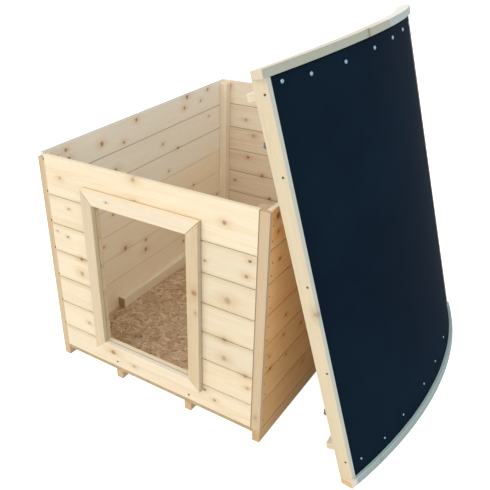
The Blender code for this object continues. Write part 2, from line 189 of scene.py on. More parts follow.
# Nails and screws, as places on the face that they are driven into
STRIP_NAIL_LEVELS = (0.124, 0.207, 0.297, 0.384, 0.470, 0.558, 0.650)
SIDE_NAIL_LEVELS = (
    0.067, 0.150, 0.189, 0.239, 0.277, 0.323, 0.361, 0.411, 0.447, 0.500, 0.532, 0.589, 0.625,
)
FRONT_SCREWS = ((0.225, 0.061), (0.480, 0.059))
RAIL_SCREWS = ((0.068, 0.023), (0.316, 0.025), (0.532, 0.023), (0.777, 0.022), (0.943, 0.022))
UPPER_NAILS = (
    (0.040, 0.957), (0.121, 0.950), (0.241, 0.945), (0.379, 0.946), (0.506, 0.947), (0.620, 0.950),
)
LOWER_NAILS = (
    (0.043, 0.050), (0.135, 0.046), (0.227, 0.053), (0.361, 0.060), (0.466, 0.066), (0.588, 0.072),
)
HIDDEN_NAILS = ((0.775, 0.076), (0.775, 0.950), (0.860, 0.076), (0.860, 0.950))

# Heads of nails and screws: sides, width of the top, and the dish in a screw's head
HEAD_SEGMENTS = 14
HEAD_TOP_SHARE = 0.82
DISH_RIM_SHARE = 0.30
DISH_DEPTH_SHARE = 0.5

# Joints: depths below a wall's face that take a painted shade, the tongue, and how far the painted shade at
# edges, foot and trim reaches
JOINT_DEPTHS = (0.0006, 0.0092)
TRIM_SHADE = 0.0028
SILL_SHADE = 0.0032
BAND_EDGE = 0.0006
OUTSIDE_BLEND = 0.012
ROWS = 7
JOINT_TONGUE = 0.006
EDGE_REACH = 0.015
LINE_REACH = 0.0015
FOOT_REACH = 0.011

# Painted shade at a wall's foot, along the boards' edges, in the joints and behind the door trim, and the
# door trim's grain
FOOT_PAINTED_SHADE = (0.70, 0.62, 0.48, 1.0)
LINE_PAINTED_SHADE = (0.30, 0.22, 0.16, 1.0)
LOW_LINE_PAINTED_SHADE = (0.86, 0.80, 0.74, 1.0)
EDGE_PAINTED_SHADE = (0.89, 0.88, 0.845, 1.0)
FRONT_JOINT_PAINTED_SHADE = (1.0, 1.0, 0.98, 1.0)
SIDE_JOINT_PAINTED_SHADE = (0.75, 0.63, 0.50, 1.0)
INNER_JOINT_PAINTED_SHADE = (0.26, 0.19, 0.13, 1.0)
BEHIND_TRIM_PAINTED_SHADOW = (0.42, 0.36, 0.30, 1.0)
STILE_GRAIN_SHARES = (0.91, 0.85, 0.77)

# Colours of sawn ends: plain, painted shade on those in the doorway and on the floor battens, and at the
# roof's foot
PLAIN_END = (0.97, 0.93, 0.86)
SHADED_JAMB_END = (0.74, 0.70, 0.64)
SHADED_BATTEN_END = (0.50, 0.38, 0.20)
FOOT_END = (0.96, 0.71, 0.46)
END_GRAIN_SHADE = (0.87, 0.80, 0.70, 1.0)

# How light each row of a wall is, from the ground up, and the tint of its lowest rows: painted light and
# shade, darker low down and on the front's right-hand boards
LEFT_ROW_SHARES = (0.99, 0.99, 1.0, 1.02, 1.03, 1.04, 1.05)
LEFT_LOW_SHARES = (1.02, 0.955, 0.87)
LEFT_LOW_ROWS = 4
RIGHT_ROW_SHARES = (0.72, 0.77, 0.84, 0.91, 0.95, 0.98, 1.0)
BACK_ROW_SHARES = (0.88, 0.88, 0.88, 0.90, 0.92, 0.97, 1.0)
BACK_LOW_SHARES = (1.0, 0.955, 0.92)
BACK_LOW_ROWS = 5
FRONT_ROW_SHARES = (0.98, 0.98, 1.0, 1.0, 1.0, 1.0, 1.04)
FRONT_RIGHT_SHARE = 0.93
TRIM_TOP_SHARES = (1.0, 1.0, 1.02)


def light(red, green, blue):
    """Linear light of a colour that is given as it looks on a screen, from 0 to 255."""
    shares = [c / 255 for c in (red, green, blue)]
    return tuple(s / 12.92 if s <= 0.04045 else ((s + 0.055) / 1.055) ** 2.4 for s in shares)


def colour_choice(name, shade):
    return FloatVectorProperty(name=name, subtype="COLOR", size=3, min=0.0, max=1.0, default=light(*shade),
                               description="Colour of " + name.lower())


def length_choice(name, description, default, least):
    return FloatProperty(name=name, description=description, default=default, min=least, unit="LENGTH")


def strength_choice(name, description, default):
    return FloatProperty(name=name, description=description, default=default, min=0.0)


class KennelWoodSettings(PropertyGroup):
    """Colours and grain of the pine and the strand board."""

    front_pale: colour_choice("Front boards, early wood", (247, 229, 198))
    front_deep: colour_choice("Front boards, late wood", (234, 205, 157))
    left_stile: colour_choice("Left door trim", (226, 205, 172))
    right_stile: colour_choice("Right door trim", (222, 199, 161))
    # Painted shade on the visible sides of the two door trims
    left_stile_shaded_side: colour_choice("Left door trim's inner side", (206, 190, 155))
    right_stile_shaded_side: colour_choice("Right door trim's outer side", (191, 177, 148))
    # Painted shade on the sill's top face, greyer than the trim's front
    sill: colour_choice("Top face of the door sill", (240, 228, 206))
    wall_pale: colour_choice("Side and back boards, early wood", (250, 238, 216))
    wall_deep: colour_choice("Side and back boards, late wood", (234, 208, 172))
    # Painted cool shade on the left wall's top face
    shaded_wall_top: colour_choice("Top face of the left wall", (206, 203, 194))
    # A paler, less yellow copy of the wall's wood for the left wall's inside: painted light
    left_pale: colour_choice("Left wall's inside, early wood", (253, 248, 234))
    left_deep: colour_choice("Left wall's inside, late wood", (249, 234, 210))
    # Painted shade and warm bounced light on the right wall's outside, under the leaning roof
    shaded_pale: colour_choice("Right wall's outside, early wood", (255, 208, 144))
    shaded_deep: colour_choice("Right wall's outside, late wood", (252, 182, 108))
    corner_pale: colour_choice("Right corner post, early wood", (214, 189, 154))
    corner_deep: colour_choice("Right corner post, late wood", (198, 168, 129))
    timber_pale: colour_choice("Frame timber, early wood", (220, 194, 158))
    timber_deep: colour_choice("Frame timber, late wood", (198, 164, 120))
    # Painted shade on the right runner's outer side, under the leaning roof
    runner_pale: colour_choice("Right runner, early wood", (219, 184, 137))
    runner_deep: colour_choice("Right runner, late wood", (188, 146, 98))
    rail_pale: colour_choice("Roof rails, early wood", (228, 210, 176))
    rail_deep: colour_choice("Roof rails, late wood", (216, 191, 153))
    # Painted cool shade on the rails' uncovered edge
    shaded_rail_edge: colour_choice("Roof rails' uncovered edge", (197, 200, 187))
    # Painted cool shade on the arched boards' curved edges and on the lower one's inner face
    shaded_upper_edge: colour_choice("Upper arched board's curved edge", (177, 179, 163))
    shaded_lower_edge: colour_choice("Lower arched board's curved edge", (161, 175, 172))
    shaded_lower_inner: colour_choice("Lower arched board's inner face", (186, 208, 205))
    arch_pale: colour_choice("Arched end boards, early wood", (243, 239, 228))
    arch_deep: colour_choice("Arched end boards, late wood", (228, 217, 197))
    strand_pale: colour_choice("Strand board, pale strands", (225, 199, 165))
    strand_dark: colour_choice("Strand board, dark strands", (178, 139, 100))
    strand_edge: colour_choice("Strand board, sawn edges", (186, 164, 124))
    strand_speck: colour_choice("Strand board, dark specks", (104, 68, 38))
    ring_spacing: length_choice("Ring spacing", "Distance between growth rings", 0.0034, 0.0005)
    nail_radius: length_choice("Nail head radius", "Radius of the wall nails' heads", 0.0021, 0.0005)
    screw_radius: length_choice("Screw head radius", "Radius of the screws' heads", 0.0036, 0.0005)


class KennelRoofSettings(PropertyGroup):
    """Covering and fixings of the roof."""

    covering: colour_choice("Covering", (15, 28, 42))
    covering_dust: colour_choice("Covering, dusty patches", (19, 35, 49))
    ripple: length_choice("Ripple", "How far the covering rises and falls between its nails", 0.0006, 0.0)
    nail_radius: length_choice("Roofing nail radius", "Radius of the domed roofing nails", 0.0050, 0.001)
    nail_height: length_choice("Roofing nail height", "Height of the domed roofing nails", 0.0032, 0.0005)
    tab_width: length_choice("Tab width", "Width of the metal tabs on the near rail", 0.014, 0.002)
    tab_drop: length_choice("Tab drop", "How far the metal tabs hang below the rail", 0.014, 0.002)


class KennelStageSettings(PropertyGroup):
    """Floor, light and camera."""

    floor_colour: colour_choice("Floor", (250, 250, 250))
    floor_half: length_choice("Floor half width", "Half of the floor's width", 9.0, 1.0)
    sun_strength: strength_choice("Key light", "Strength of the soft key light", 1.00)
    side_strength: strength_choice("Side light", "Strength of the soft light from the front right", 0.74)
    sky_strength: strength_choice("Fill light", "Strength of the even light from all round", 0.68)


class Wiring:
    """Adds nodes to one material or node group and links them."""

    def __init__(self, tree):
        self.tree = tree

    def connect(self, socket, value):
        if isinstance(value, bpy.types.NodeSocket):
            self.tree.links.new(value, socket)
        else:
            socket.default_value = value

    def add(self, kind, values=None, **settings):
        node = self.tree.nodes.new(kind)
        for key, value in settings.items():
            setattr(node, key, value)
        for key, value in (values or {}).items():
            self.connect(node.inputs[key], value)
        return node

    def math(self, operation, *values):
        return self.add("ShaderNodeMath", dict(enumerate(values)), operation=operation).outputs[0]

    def times(self, first, second):
        return self.math("MULTIPLY", first, second)

    def plus(self, first, second):
        return self.math("ADD", first, second)

    def squares(self, first, second):
        """The sum of two numbers' squares."""
        return self.plus(self.math("POWER", first, 2.0), self.math("POWER", second, 2.0))

    def vector(self, operation, *values):
        node = self.add("ShaderNodeVectorMath", dict(enumerate(values)), operation=operation)
        return node.outputs["Value" if operation == "DOT_PRODUCT" else "Vector"]

    def join(self, x, y, z):
        return self.add("ShaderNodeCombineXYZ", {0: x, 1: y, 2: z}).outputs[0]

    def split(self, vector):
        return self.add("ShaderNodeSeparateXYZ", {0: vector}).outputs

    def noise(self, vector, scale=1.0, detail=2.0, roughness=0.5):
        values = {"Vector": vector, "Scale": scale, "Detail": detail, "Roughness": roughness}
        return self.add("ShaderNodeTexNoise", values).outputs[0]

    def mix(self, factor, first, second, blend="MIX"):
        values = {0: factor, 6: first, 7: second}
        return self.add("ShaderNodeMix", values, data_type="RGBA", blend_type=blend).outputs[2]

    def tint(self, colour, shade):
        """The colour multiplied by a shade."""
        return self.mix(1.0, colour, shade, "MULTIPLY")

    def tone(self, colour, share):
        """The colour multiplied by the same share in each channel."""
        return self.tint(colour, self.join(share, share, share))

    def emboss(self, surface, height, strength, distance):
        """Gives a surface the relief of a height."""
        values = {"Height": height, "Strength": strength, "Distance": distance}
        self.connect(surface.inputs["Normal"], self.add("ShaderNodeBump", values).outputs[0])

    def blend_numbers(self, factor, first, second):
        return self.add("ShaderNodeMix", {0: factor, 2: first, 3: second}).outputs[0]

    def step(self, value, low, high, start=0.0, end=1.0):
        values = {0: value, 1: low, 2: high, 3: start, 4: end}
        return self.add("ShaderNodeMapRange", values, interpolation_type="SMOOTHSTEP").outputs[0]

    def reorder(self, vector, order):
        parts = dict(zip("XYZ", self.split(vector)))
        return self.join(*[parts[axis] for axis in order])


def new_group(name, inputs, outputs):
    """A shader node group's wiring and the sockets of its two ends, listed as label and kind."""
    group = bpy.data.node_groups.new(name, "ShaderNodeTree")
    for direction, sockets in (("INPUT", inputs), ("OUTPUT", outputs)):
        for socket in sockets.split():
            label, kind = socket.split(":")
            group.interface.new_socket(label, in_out=direction, socket_type="NodeSocket" + kind)
    start = group.nodes.new("NodeGroupInput").outputs
    finish = group.nodes.new("NodeGroupOutput").inputs
    return Wiring(group), start, finish


# What each knot hands on to the next one and to the board
KNOT_STATE = "Bend:Float Cover:Float Tone:Float Halo:Float Ring:Float"


def make_knot_group():
    """One knot: it bends the grain round itself and covers a round patch of the board."""
    inputs = "Point:Vector Centre:Vector Radius:Float Kind:Float " + KNOT_STATE
    wire, start, finish = new_group("knot", inputs, KNOT_STATE)
    away = wire.vector("SUBTRACT", start["Point"], start["Centre"])
    along, across, _ = wire.split(away)
    along = wire.math("DIVIDE", along, start["Radius"])
    level = wire.math("DIVIDE", across, start["Radius"])
    flat = wire.join(along, level, start["Radius"])
    uneven = wire.noise(wire.vector("MULTIPLY", flat, KNOT_SCALES), 1.3, 1.0)
    uneven = wire.math("MULTIPLY_ADD", uneven, 0.7, -0.35)
    round_off = wire.math("SQRT", wire.squares(wire.times(along, 1.02), level))
    distance = wire.plus(round_off, uneven)
    cover = wire.step(distance, 0.30, 0.92, 1.0, 0.0)
    long_off = wire.squares(wire.times(along, 0.36), wire.times(level, 0.58))
    near = wire.math("EXPONENT", wire.times(long_off, -1.0))
    bend = wire.times(wire.times(across, near), -0.86)
    wire.connect(finish["Bend"], wire.plus(start["Bend"], bend))
    wire.connect(finish["Cover"], wire.math("MAXIMUM", start["Cover"], cover))
    taken = wire.math("GREATER_THAN", cover, 0.02)
    wire.connect(finish["Tone"], wire.blend_numbers(taken, start["Tone"], start["Kind"]))
    wire.connect(finish["Halo"], wire.math("MAXIMUM", start["Halo"], near))
    wire.connect(finish["Ring"], wire.blend_numbers(taken, start["Ring"], distance))


def make_pine_group():
    """Planed pine: growth rings cut by the board, fibre, flecks, knots and end grain."""
    inputs = ("Point:Vector Facing:Vector Heart:Vector Slope:Vector Offset:Vector Spacing:Float "
              "Contrast:Float Pale:Color Deep:Color End:Color " + KNOT_STATE)
    outputs = "Color:Color Roughness:Float Height:Float"
    wire, start, finish = new_group("planed_pine", inputs, outputs)

    def stretched_noise(place, scales, *detail):
        spot = wire.vector("ADD", wire.vector("MULTIPLY", place, scales), start["Offset"])
        return wire.noise(spot, 1.0, *detail)

    x, y, z = wire.split(start["Point"])
    sway = stretched_noise(start["Point"], SWAY_SCALES, 2.0)
    sway = wire.math("MULTIPLY_ADD", sway, 0.040, -0.020)
    y_bent = wire.plus(wire.plus(y, start["Bend"]), sway)
    bent = wire.join(x, y_bent, z)
    heart_x, heart_y, heart_z = wire.split(start["Heart"])
    slope_x, slope_y, slope_z = wire.split(start["Slope"])
    run = wire.math("SUBTRACT", x, heart_x)
    side = wire.math("SUBTRACT", y_bent, wire.math("MULTIPLY_ADD", run, slope_y, heart_y))
    deep = wire.math("SUBTRACT", z, wire.math("MULTIPLY_ADD", run, slope_z, heart_z))
    radius = wire.math("SQRT", wire.squares(side, deep))
    count = wire.math("DIVIDE", radius, start["Spacing"])
    broad_place = wire.join(wire.times(x, 0.9), wire.times(count, 0.30), slope_x)
    broad = wire.noise(broad_place, 1.0, 3.0, 0.6)
    phase = wire.math("FRACT", wire.plus(count, wire.times(broad, 1.5)))
    late = wire.times(wire.step(phase, 0.35, 0.90), wire.step(phase, 0.90, 1.0, 1.0, 0.0))
    fibre = stretched_noise(bent, FIBRE_SCALES, 2.0, 0.6)
    streak = stretched_noise(bent, STREAK_SCALES, 3.0, 0.55)
    fleck = wire.step(stretched_noise(start["Point"], FLECK_SCALES, 1.0), 0.70, 0.80)
    rings = wire.times(late, wire.step(broad, 0.30, 0.70, 0.25, 0.75))
    amount = wire.plus(wire.times(rings, 0.55), wire.step(streak, 0.40, 0.75, 0.0, 0.55))
    amount = wire.plus(amount, wire.times(wire.step(broad, 0.5, 0.8), 0.35))
    amount = wire.times(amount, start["Contrast"])
    colour = wire.mix(amount, start["Pale"], start["Deep"])
    colour = wire.mix(wire.times(fleck, 0.20), colour, wire.tint(start["Deep"], FLECK_SHADE))
    colour = wire.tone(colour, wire.step(fibre, 0.25, 0.75, 0.955, 1.03))
    halo = wire.times(wire.math("POWER", start["Halo"], 1.4), 0.62)
    colour = wire.mix(halo, colour, wire.tint(start["Deep"], HALO_SHADE))
    red = wire.mix(wire.step(start["Ring"], 0.0, 0.95), *RED_KNOT_SHADES)
    grey = wire.mix(wire.step(start["Ring"], 0.0, 0.9), *GREY_KNOT_SHADES)
    dark = wire.mix(wire.step(start["Ring"], 0.1, 0.9), *DARK_KNOT_SHADES)
    knot = wire.mix(wire.step(start["Tone"], *DARK_TO_GREY), dark, grey)
    knot = wire.mix(wire.step(start["Tone"], *GREY_TO_RED), knot, red)
    turns = wire.math("SINE", wire.times(start["Ring"], 26.0))
    knot = wire.tone(knot, wire.math("MULTIPLY_ADD", turns, 0.10, 1.0))
    loose = wire.times(wire.step(start["Tone"], *DARK_TO_GREY),
                       wire.step(start["Tone"], *GREY_TO_RED, 1.0, 0.0))
    solid = wire.math("MULTIPLY_ADD", loose, -0.22, 0.86)
    colour = wire.mix(wire.times(start["Cover"], solid), colour, knot)
    end = wire.step(wire.math("ABSOLUTE", wire.split(start["Facing"])[0]), 0.55, 0.80)
    grain_end = wire.tint(start["End"], END_GRAIN_SHADE)
    end_colour = wire.mix(wire.times(late, 0.6), start["End"], grain_end)
    colour = wire.mix(end, colour, wire.tint(colour, end_colour))
    wire.connect(finish["Color"], colour)
    wire.connect(finish["Roughness"], wire.step(wire.plus(rings, fibre), 0.2, 1.4, 0.66, 0.52))
    height = wire.plus(wire.times(late, 0.35), wire.times(fibre, 0.45))
    wire.connect(finish["Height"], wire.plus(height, wire.times(start["Cover"], 0.5)))


def place_group(wire, group, values):
    return wire.add("ShaderNodeGroup", values, node_tree=bpy.data.node_groups[group]).outputs


def start_material(name, roughness=0.6):
    """A new material with its wiring and its surface shader."""
    material = bpy.data.materials.new(name)
    material.use_nodes = True
    surface = material.node_tree.nodes["Principled BSDF"]
    surface.inputs["Roughness"].default_value = roughness
    return material, Wiring(material.node_tree), surface


def board_points(wire, order, leaning):
    """Point and facing in a board's own order of axes, in the roof's frame where it leans."""
    place = wire.add("ShaderNodeTexCoord")
    point = place.outputs["Object"]
    facing = place.outputs["Normal"]
    if leaning:
        turned = {"Vector": point, "Location": ROOF_FOOT, "Rotation": ROOF_TURN}
        point = wire.add("ShaderNodeMapping", turned, vector_type="TEXTURE").outputs[0]
        turned = {"Vector": facing, "Rotation": ROOF_TURN}
        facing = wire.add("ShaderNodeMapping", turned, vector_type="TEXTURE").outputs[0]
    return wire.reorder(point, order), wire.reorder(facing, order)


def paint_band_shade(wire, colour, point, facing, band):
    """Painted shade between two depths in a board, for joint gaps and behind the door trim, on flat faces
    alone where the band says so.
    """
    start, end, flat_only, shade = band
    depth = wire.split(point)[2]
    low, high = start + BAND_EDGE, end - BAND_EDGE
    mask = wire.times(wire.step(depth, start, low), wire.step(depth, high, end, 1.0, 0.0))
    if flat_only:
        mask = wire.times(mask, wire.step(wire.math("ABSOLUTE", wire.split(facing)[2]), 0.4, 0.8))
    return wire.mix(mask, colour, wire.tint(colour, shade))


def paint_edge_shade(wire, colour, point, edges):
    """Painted shade towards a board's two long edges, where its face rounds off and meets the next board.
    """
    across = wire.split(point)[1]
    low, high, reach, shade = edges
    near = wire.math("MAXIMUM", wire.step(across, low, low + reach, 1.0, 0.0),
                     wire.step(across, high - reach, high))
    return wire.mix(near, colour, wire.tint(colour, shade))


def long_edges(node, row, reach, shade):
    """Levels of the edges at which a wall board meets its neighbours, with the painted shade along them."""
    low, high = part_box(node)
    return (low.z + JOINT_TONGUE if row > 1 else low.z - reach, high.z if row < ROWS else high.z + reach,
            reach, shade)


def pine(name, order, colours, middle, knots=(), contrast=1.0, leaning=False, tone=1.0,
         outside=(), band=None, end=PLAIN_END, edges=None):
    """Pine for one board. The middle is in the board's order of axes, and so are the knots.

    Each entry of outside gives a direction, the two colours of the faces that look that way, and at
    will where along the board they begin; several entries are painted light and shade on faces turned
    one way. band gives two depths between which a painted shade darkens the wood, whether it does so
    on flat faces alone, and the shade. edges gives the levels of the board's long edges, how far from
    them a painted shade darkens the wood, and the shade there.
    """
    wood = bpy.context.scene.kennel_wood
    chance = random.Random(name)
    material, wire, surface = start_material(name)
    point, facing = board_points(wire, order, leaning)
    state = {"Bend": 0.0, "Cover": 0.0, "Tone": 0.0, "Halo": 0.0, "Ring": 0.0}
    for along, across, radius, kind in knots:
        values = {"Point": point, "Centre": (along, across, 0.0), "Radius": radius, "Kind": kind}
        outputs = place_group(wire, "knot", {**values, **state})
        state = {key: outputs[key] for key in state}
    heart = (middle[0], middle[1] + chance.uniform(-HEART_SPREAD, HEART_SPREAD),
             middle[2] + chance.choice((-1, 1)) * HEART_DEPTH)
    slope = (chance.uniform(0, 50), chance.uniform(-SLOPE_ACROSS, SLOPE_ACROSS),
             chance.uniform(-SLOPE_THROUGH, SLOPE_THROUGH))
    offset = tuple(chance.uniform(-40, 40) for _ in range(3))
    lift = tone * chance.uniform(*LIFTS)
    pale, deep = [tuple(min(1.0, c * lift) for c in colour) + (1.0,) for colour in colours]
    for towards, outer_pale, outer_deep, *begin in outside:
        out = wire.step(wire.vector("DOT_PRODUCT", facing, towards), 0.2, 0.5)
        for place in begin:
            out = wire.times(out, wire.step(wire.split(point)[0], place, place + OUTSIDE_BLEND))
        pale = wire.mix(out, pale, (*outer_pale, 1.0))
        deep = wire.mix(out, deep, (*outer_deep, 1.0))
    values = {
        "Point": point, "Facing": facing, "Heart": heart, "Slope": slope, "Offset": offset,
        "Spacing": wood.ring_spacing * chance.uniform(*SPACING_SHARES),
        "Contrast": contrast * chance.uniform(*CONTRAST_SHARES),
        "Pale": pale, "Deep": deep, "End": (*end, 1.0),
    }
    finish = place_group(wire, "planed_pine", {**values, **state})
    colour = finish["Color"]
    if edges:
        colour = paint_edge_shade(wire, colour, point, edges)
    if band:
        colour = paint_band_shade(wire, colour, point, facing, band)
    wire.connect(surface.inputs["Base Color"], colour)
    wire.connect(surface.inputs["Roughness"], finish["Roughness"])
    wire.emboss(surface, finish["Height"], *PINE_RELIEF)
    surface.inputs["Specular IOR Level"].default_value = PINE_SPECULAR
    return material


def dress(node, material):
    """Gives a node of the solid model its finish."""
    mesh = NODES[node].data
    mesh.materials.clear()
    mesh.materials.append(material)


def toned(colour, *shares):
    """A colour made lighter or darker by one share, or by one for each of its channels."""
    shares = shares if len(shares) > 1 else shares * 3
    return tuple(min(1.0, share * c) for share, c in zip(shares, colour))


def wood_pairs(wood, *kinds):
    """The colours of early and late wood, for each kind."""
    return [(getattr(wood, kind + "_pale"), getattr(wood, kind + "_deep")) for kind in kinds]


def ordered(vector, order):
    return [vector["XYZ".index(axis)] for axis in order]


def dress_board(node, order, colours, knots=(), contrast=1.0, tone=1.0, **more):
    """Pine for a node of the box, with those of the wall's knots that lie on it."""
    low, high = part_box(node)
    middle = ordered((low + high) / 2, order)
    start, end = ordered(low, order), ordered(high, order)
    origin = ordered(CORNER, order)
    own = []
    for along, across, radius, kind in knots:
        spot = (along + origin[0], across + origin[1])
        if all(start[i] - radius < spot[i] < end[i] + radius for i in (0, 1)):
            own.append((*spot, radius, kind))
    dress(node, pine(node + "_pine", order, colours, middle, own, contrast, False, tone, **more))


def new_piece(name, mesh_work, materials, body, smooth_angle):
    """An object made from a finished bmesh, smooth up to an angle and riding on a body."""
    mesh = bpy.data.meshes.new(name)
    mesh_work.to_mesh(mesh)
    mesh_work.free()
    piece = bpy.data.objects.new(name, mesh)
    bpy.context.scene.collection.objects.link(piece)
    for material in materials:
        mesh.materials.append(material)
    mesh.shade_smooth()
    mesh.set_sharp_from_angle(angle=math.radians(smooth_angle))
    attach(piece, body)
    return piece


def arc_height(across):
    """Height of the covering's outer face above the rails' underside."""
    reach = (ARC_RADIUS - COVERING_INSET) ** 2 - (across - HALF_CHORD) ** 2
    return RAIL_HEIGHT + ROOF_RISE - ARC_RADIUS + math.sqrt(reach)


def arc_normal(across):
    tilt = (across - HALF_CHORD) / ARC_RADIUS
    return Vector((math.sqrt(1 - tilt ** 2), tilt, 0.0))


class KENNEL_OT_wall_boards(Operator):
    """Finish the tongue-and-groove boards of the four walls and the door trim"""

    bl_idname = "kennel.wall_boards"
    bl_label = "Wall boards and door trim"

    FRONT_CONTRAST = 0.6
    LEFT_CONTRAST = 0.5
    RIGHT_CONTRAST = 0.9
    BACK_CONTRAST = 0.8
    STILE_CONTRAST = 0.8

    def execute(self, context):
        wood = context.scene.kennel_wood
        front, walls, shaded, left_inside = wood_pairs(wood, "front", "wall", "shaded", "left")
        back_low = [toned(colour, *BACK_LOW_SHARES) for colour in walls]
        left_low = [toned(colour, *LEFT_LOW_SHARES) for colour in left_inside]
        # The sill's top face takes its painted shade
        sill = (ACROSS, wood.sill, wood.sill)
        near, far = JOINT_DEPTHS
        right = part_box("right_board_1")[1].x
        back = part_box("back_board_1")[1].y
        for node in sorted(NODES):
            if node.startswith("front_board"):
                # Front: painted light and shade by row and darker on the right, painted shade in the joint
                # gaps, along the long edges and on the ends in the doorway
                band = (CORNER.y + near, CORNER.y + far, True, FRONT_JOINT_PAINTED_SHADE)
                row = int(node.split("_")[2])
                share = FRONT_ROW_SHARES[row - 1] * (FRONT_RIGHT_SHARE if node.endswith("_right") else 1.0)
                dress_board(node, LYING_ON_FRONT, front, FRONT_KNOTS, self.FRONT_CONTRAST, share, band=band,
                            end=SHADED_JAMB_END, edges=long_edges(node, row, EDGE_REACH, EDGE_PAINTED_SHADE))
            elif node.startswith("left_board"):
                # Left wall: its inside a paler copy of the wall's wood as painted light, darker and warmer
                # low down as painted shade, painted shade in the joints and along the edges, its top face
                # in painted cool shade
                band = (CORNER.x + near, CORNER.x + far, True, INNER_JOINT_PAINTED_SHADE)
                outside = [(THROUGH_BACKWARDS, *front)]
                row = int(node[-1])
                if row == ROWS:
                    outside.append((ACROSS, wood.shaded_wall_top, wood.shaded_wall_top))
                share = LEFT_ROW_SHARES[row - 1]
                low_row = row <= LEFT_LOW_ROWS
                inside = left_low if low_row else left_inside
                line = LOW_LINE_PAINTED_SHADE if low_row else LINE_PAINTED_SHADE
                dress_board(node, LYING_ON_SIDE, inside, LEFT_KNOTS, self.LEFT_CONTRAST, share,
                            outside=outside, band=band, edges=long_edges(node, row, LINE_REACH, line))
            elif node.startswith("right_board"):
                # Right wall: its outside painted in shade and warm bounced light under the roof, darker on
                # lower rows, with painted shade in the joints
                band = (right - far, right - near, True, SIDE_JOINT_PAINTED_SHADE)
                row = int(node[-1])
                outside = [(THROUGH, *[toned(colour, RIGHT_ROW_SHARES[row - 1]) for colour in shaded])]
                low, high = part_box(node)
                # A painted shadow line along the foot of the lowest board, above the runner
                foot = (low.z, high.z + FOOT_REACH, FOOT_REACH, FOOT_PAINTED_SHADE) if row == 1 else None
                dress_board(node, LYING_ON_SIDE, walls, RIGHT_KNOTS, self.RIGHT_CONTRAST,
                            outside=outside, band=band, edges=foot)
            elif node.startswith("back_board"):
                # Back wall: its inside darker and warmer low down as painted shade, with painted shade in
                # the joints and along the edges
                band = (back - far, back - near, True, INNER_JOINT_PAINTED_SHADE)
                outside = [(THROUGH, *front)]
                row = int(node[-1])
                share = BACK_ROW_SHARES[row - 1]
                inside = back_low if row <= BACK_LOW_ROWS else walls
                dress_board(node, LYING_ON_FRONT, inside, BACK_KNOTS, self.BACK_CONTRAST, share,
                            outside=outside, band=band, edges=long_edges(node, row, LINE_REACH, LINE_PAINTED_SHADE))
        # Painted shadow at the back of the door trim and under the sill's top
        behind = (CORNER.y - TRIM_SHADE, CORNER.y + TRIM_SHADE, False, BEHIND_TRIM_PAINTED_SHADOW)
        paler = [toned(colour, *TRIM_TOP_SHARES) for colour in front]
        dress_board("door_trim_top", LYING_ON_FRONT, paler, TRIM_KNOTS, self.FRONT_CONTRAST, band=behind)
        under_sill = (CORNER.y - SILL_SHADE, CORNER.y + TRIM_SHADE, False, BEHIND_TRIM_PAINTED_SHADOW)
        dress_board("door_trim_bottom", LYING_ON_FRONT, front, TRIM_KNOTS, self.FRONT_CONTRAST,
                    band=under_sill, outside=[sill])
        flipped = [(z, x, radius, kind) for x, z, radius, kind in TRIM_KNOTS]
        # Each stile's visible side takes its painted shade
        stiles = (("door_trim_left", wood.left_stile, wood.left_stile_shaded_side),
                  ("door_trim_right", wood.right_stile, wood.right_stile_shaded_side))
        for node, stile, side in stiles:
            deeper = toned(stile, *STILE_GRAIN_SHARES)
            dress_board(node, STANDING, (stile, deeper), flipped, self.STILE_CONTRAST,
                        outside=[(ACROSS, side, side)], band=behind)
        return {"FINISHED"}


class KENNEL_OT_frame_timber(Operator):
    """Finish the corner posts, the runners and the floor battens"""

    bl_idname = "kennel.frame_timber"
    bl_label = "Posts, runners and battens"

    def execute(self, context):
        wood = context.scene.kennel_wood
        colours, walls, shaded, corner = wood_pairs(wood, "timber", "wall", "runner", "corner")
        for node in sorted(NODES):
            if node == "post_front_right":
                dress_board(node, STANDING, corner, POST_KNOTS, 0.6)
            elif node == "post_front_left":
                dress_board(node, STANDING, colours, (), 1.0)
            elif node.startswith("post_back"):
                dress_board(node, STANDING, walls, (), 0.8)
            elif node.startswith("floor_batten"):
                # The battens' front ends are darkened as painted shade
                dress_board(node, RUNNING_BACK, walls, (), 0.6, end=SHADED_BATTEN_END)
            elif node.startswith("skid"):
                # The right runner's outer side takes its painted shade
                side = [(ACROSS, *shaded)] if node == "skid_right" else []
                dress_board(node, RUNNING_BACK, colours, (), 1.1, outside=side)
        return {"FINISHED"}


